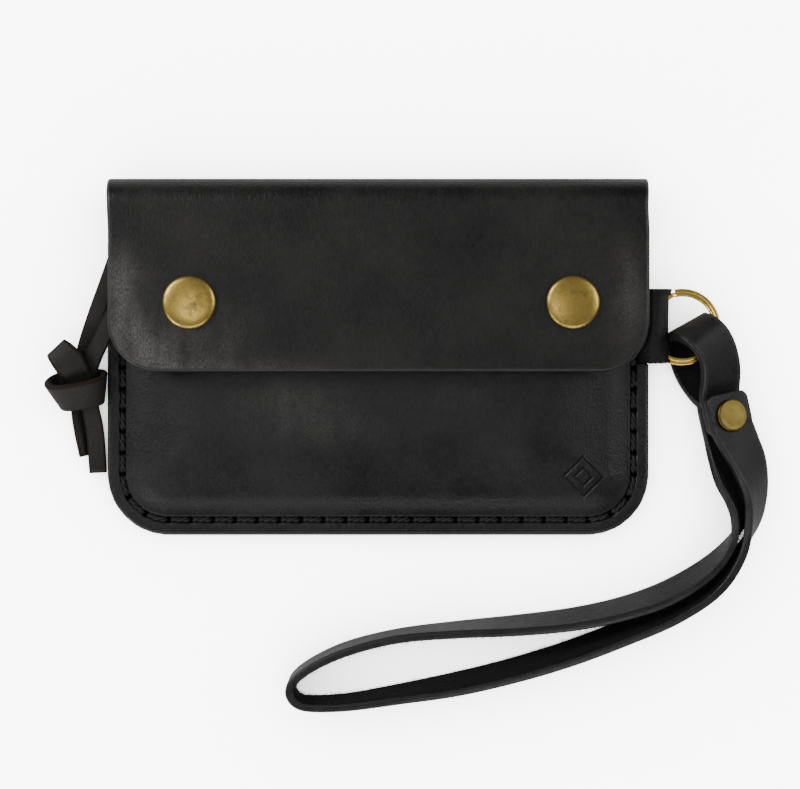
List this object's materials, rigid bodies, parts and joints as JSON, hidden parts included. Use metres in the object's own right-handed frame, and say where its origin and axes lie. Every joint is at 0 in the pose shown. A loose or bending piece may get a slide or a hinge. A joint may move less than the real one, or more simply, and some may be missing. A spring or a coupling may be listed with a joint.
{
  "type": "zippered leather pouch",
  "caption": "Flat leather zip pouch with a snap-down flap, a knotted lace zipper pull, and a riveted wrist strap on a split ring in a side loop.",
  "frame": {"origin": "centre of the back panel's outer face, on the surface the pouch lies on", "axes": "+X along the top fold towards the side ring, +Y towards the top fold, +Z out of the front of the pouch"},
  "size_m": [0.2056, 0.1508, 0.0175],
  "materials": {
    "body_leather": "smooth black vegetable-tanned leather, satin, worn lighter at the edges",
    "strap_leather": "black strap leather, satin grain side, matt fibrous flesh side and dark cut edges",
    "lace_leather": "oiled dark lace with raw brown edges",
    "antique_brass": "antiqued brass with a mottled dark patina",
    "ring_brass": "bright worn brass wire",
    "zipper_tape": "woven black zipper tape",
    "zipper_brass": "brushed zipper brass",
    "thread": "thick black waxed twisted thread"
  },
  "bodies": {
    "pouch": {"back_panel": "body_leather", "flap_fold": "body_leather", "front_panel": "body_leather", "zipper_tape_front": "zipper_tape", "zipper_tape_back": "zipper_tape", "zipper_teeth_front": "zipper_brass", "zipper_teeth_back": "zipper_brass", "zipper_top_stops": "zipper_brass", "zipper_bottom_stop": "zipper_brass", "snap_stud_left": "antique_brass", "snap_stud_right": "antique_brass", "snap_post_left": "antique_brass", "snap_post_right": "antique_brass", "side_loop": "body_leather", "seam_stitches_front": "thread", "seam_stitches_back": "thread", "zipper_stitches_front": "thread", "zipper_stitches_back": "thread"},
    "flap": {"flap": "body_leather", "snap_cap_left": "antique_brass", "snap_cap_right": "antique_brass", "snap_socket_left": "antique_brass", "snap_socket_right": "antique_brass"},
    "slider": {"zipper_slider": "zipper_brass", "zipper_slider_bridge": "zipper_brass", "lace_strand_upper": "lace_leather", "lace_strand_lower": "lace_leather", "lace_knot": "lace_leather", "lace_tail_left": "lace_leather", "lace_tail_right": "lace_leather"},
    "ring": {"split_ring": "ring_brass"},
    "strap": {"wrist_strap": "strap_leather", "strap_rivet_cap": "antique_brass", "strap_rivet_post": "antique_brass"}
  },
  "joints": [
    {"name": "flap_fold_hinge", "type": "hinge", "parent": "pouch", "child": "flap", "pos_m": [0, 0.0425, 0.00775], "axis": [-1, 0, 0], "range_deg": [0, 170], "deforming": ["flap_fold"]},
    {"name": "zipper_slide", "type": "slide", "parent": "pouch", "child": "slider", "axis": [1, 0, 0], "range_m": [0, 0.12], "deforming": ["zipper_teeth_front", "zipper_teeth_back", "lace_strand_upper", "lace_strand_lower", "lace_knot", "lace_tail_left", "lace_tail_right"]},
    {"name": "ring_swing", "type": "hinge", "parent": "pouch", "child": "ring", "pos_m": [0.07684, 0.0082, 0.0052], "axis": [0, -1, 0], "range_deg": [-45, 50], "deforming": ["side_loop"]},
    {"name": "strap_turn", "type": "hinge", "parent": "ring", "child": "strap", "pos_m": [0.0866, 0.0082, 0.00605], "axis": [-0.0872, 0, 0.9962], "range_deg": [0, 100]}
  ]
}
